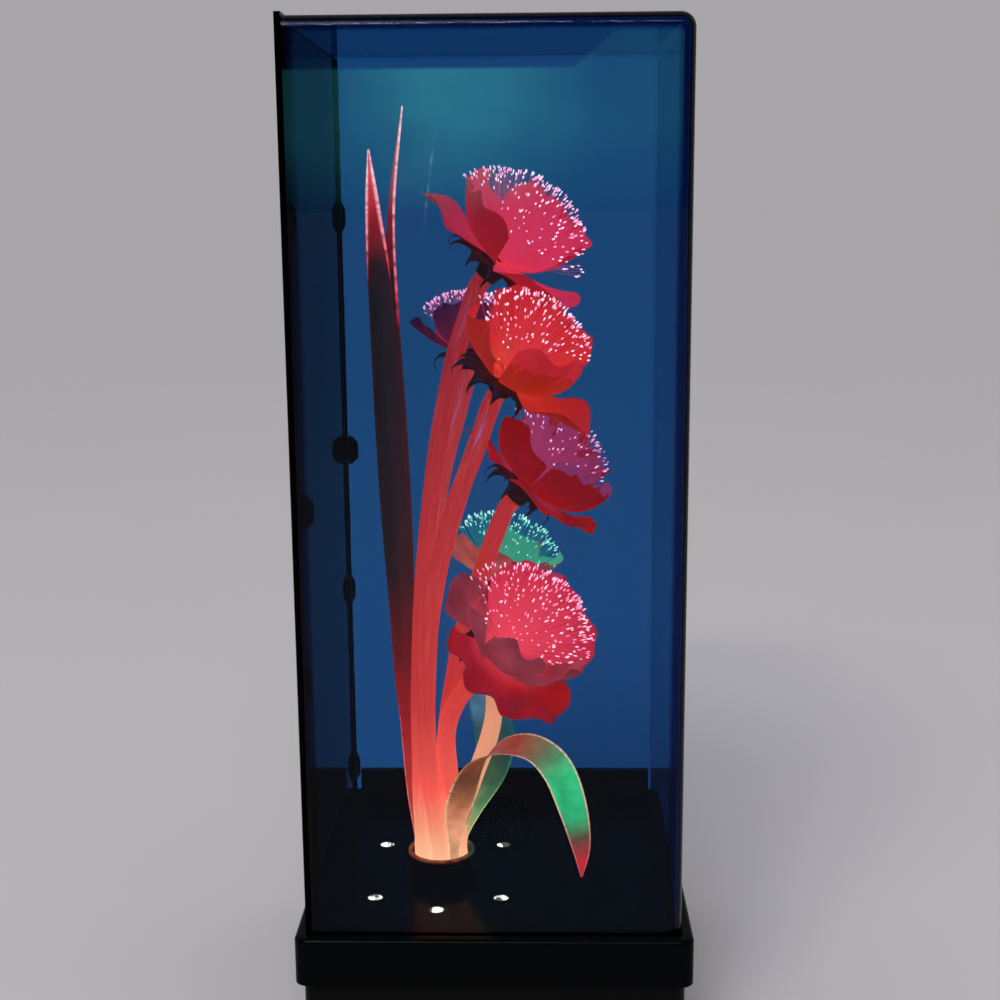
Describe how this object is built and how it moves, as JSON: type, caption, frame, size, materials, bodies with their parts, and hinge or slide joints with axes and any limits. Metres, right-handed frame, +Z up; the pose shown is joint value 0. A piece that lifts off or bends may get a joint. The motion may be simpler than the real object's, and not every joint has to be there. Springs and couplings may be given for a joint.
{
  "type": "fibre optic lamp",
  "caption": "Lit artificial flowers of optical fibre on translucent stems and leaves in a clear blue-tinted square display case, on a black base with a lamp and a turning colour wheel.",
  "frame": {"origin": "on the floor under the middle of the base", "axes": "+Z up, +X to the right and -Y to the front as the flowers face"},
  "size_m": [0.202, 0.202, 0.5228],
  "materials": {
    "base_plastic": "glossy black moulded plastic",
    "dark_plastic": "satin black plastic",
    "rocker_plastic": "satin black plastic",
    "switch_plastic": "satin black plastic",
    "rubber": "matt black rubber",
    "zinc_steel": "zinc plated steel",
    "polished_steel": "ground steel",
    "hub_plastic": "white nylon",
    "brass_ferrule": "plain brass",
    "fibre_bundle": "polished ends of packed clear fibres, lit",
    "lamp_ceramic": "plain white ceramic",
    "reflector": "polished aluminium",
    "capsule_glass": "clear quartz capsule, lit",
    "core_steel": "varnished steel laminations",
    "coil_wrap": "yellow insulating tape",
    "block_plastic": "plain nylon",
    "lead_sleeve": "smooth sleeving",
    "filter_red": "clear red film on acetate",
    "filter_amber": "clear amber film on acetate",
    "filter_green": "clear green film on acetate",
    "filter_blue": "clear blue film on acetate",
    "case_acrylic": "clear blue-tinted acrylic with polished edges",
    "stem": "translucent sleeve lit from inside",
    "fibres": "fine clear fibres with lit tips",
    "fibres_green": "fine clear fibres with lit tips",
    "petals_red": "dyed silk",
    "petals_pink": "dyed silk",
    "petals_brown": "dyed silk",
    "calyx": "dark moulded plastic",
    "leaf_tall": "stiffened dark cloth with lit edges",
    "leaf_arching": "stiffened green cloth, lit from below",
    "leaf_back": "stiffened dark green cloth"
  },
  "bodies": {
    "base": {"arching_leaf": "leaf_arching", "back_leaf": "leaf_back", "base_housing": "base_plastic", "base_screws": "zinc_steel", "bottom_plate": "dark_plastic", "bundle_ferrule": "brass_ferrule", "calyces": "calyx", "collar": "dark_plastic", "collar_nut": "zinc_steel", "cord_bushing": "rubber", "deck_tray": "base_plastic", "fibre_bundle": "fibre_bundle", "halogen_capsule": "capsule_glass", "lamp_bracket": "zinc_steel", "lamp_holder": "lamp_ceramic", "lamp_lead": "lead_sleeve", "lamp_reflector": "reflector", "motor_bracket": "zinc_steel", "motor_can": "zinc_steel", "motor_lead": "lead_sleeve", "motor_screws": "zinc_steel", "petals_lower": "petals_pink", "petals_middle": "petals_red", "petals_rear": "petals_brown", "petals_top": "petals_pink", "petals_upper": "petals_red", "petals_upper_back": "petals_pink", "rear_rail": "dark_plastic", "rubber_feet": "rubber", "spray_lower": "fibres", "spray_middle": "fibres", "spray_rear": "fibres_green", "spray_top": "fibres", "spray_upper": "fibres", "spray_upper_back": "fibres", "stem_lower": "stem", "stem_middle": "stem", "stem_rear": "stem", "stem_top": "stem", "stem_upper": "stem", "stem_upper_back": "stem", "switch_housing": "switch_plastic", "switch_lead": "lead_sleeve", "tall_leaf_left": "leaf_tall", "tall_leaf_right": "leaf_tall", "terminal_block": "block_plastic", "transformer_bracket": "zinc_steel", "transformer_coil": "coil_wrap", "transformer_core": "core_steel"},
    "colour_wheel": {"wheel_shaft": "polished_steel", "wheel_hub": "hub_plastic", "filter_red": "filter_red", "filter_amber": "filter_amber", "filter_green": "filter_green", "filter_blue": "filter_blue"},
    "rocker": {"switch_rocker": "rocker_plastic"},
    "case": {"case_shell": "case_acrylic", "left_panel": "case_acrylic", "panel_clips": "dark_plastic"}
  },
  "joints": [
    {"name": "wheel_spin", "type": "hinge", "parent": "base", "child": "colour_wheel", "pos_m": [0.0073, -0.0184, 0.05], "axis": [0, 0, 1], "continuous": true},
    {"name": "rocker_tilt", "type": "hinge", "parent": "base", "child": "rocker", "pos_m": [0.06, 0.093, 0.03], "axis": [1, 0, 0], "range_deg": [0, 24]},
    {"name": "case_lift", "type": "slide", "parent": "base", "child": "case", "axis": [0, 0, 1], "range_m": [0, 0.46]}
  ]
}
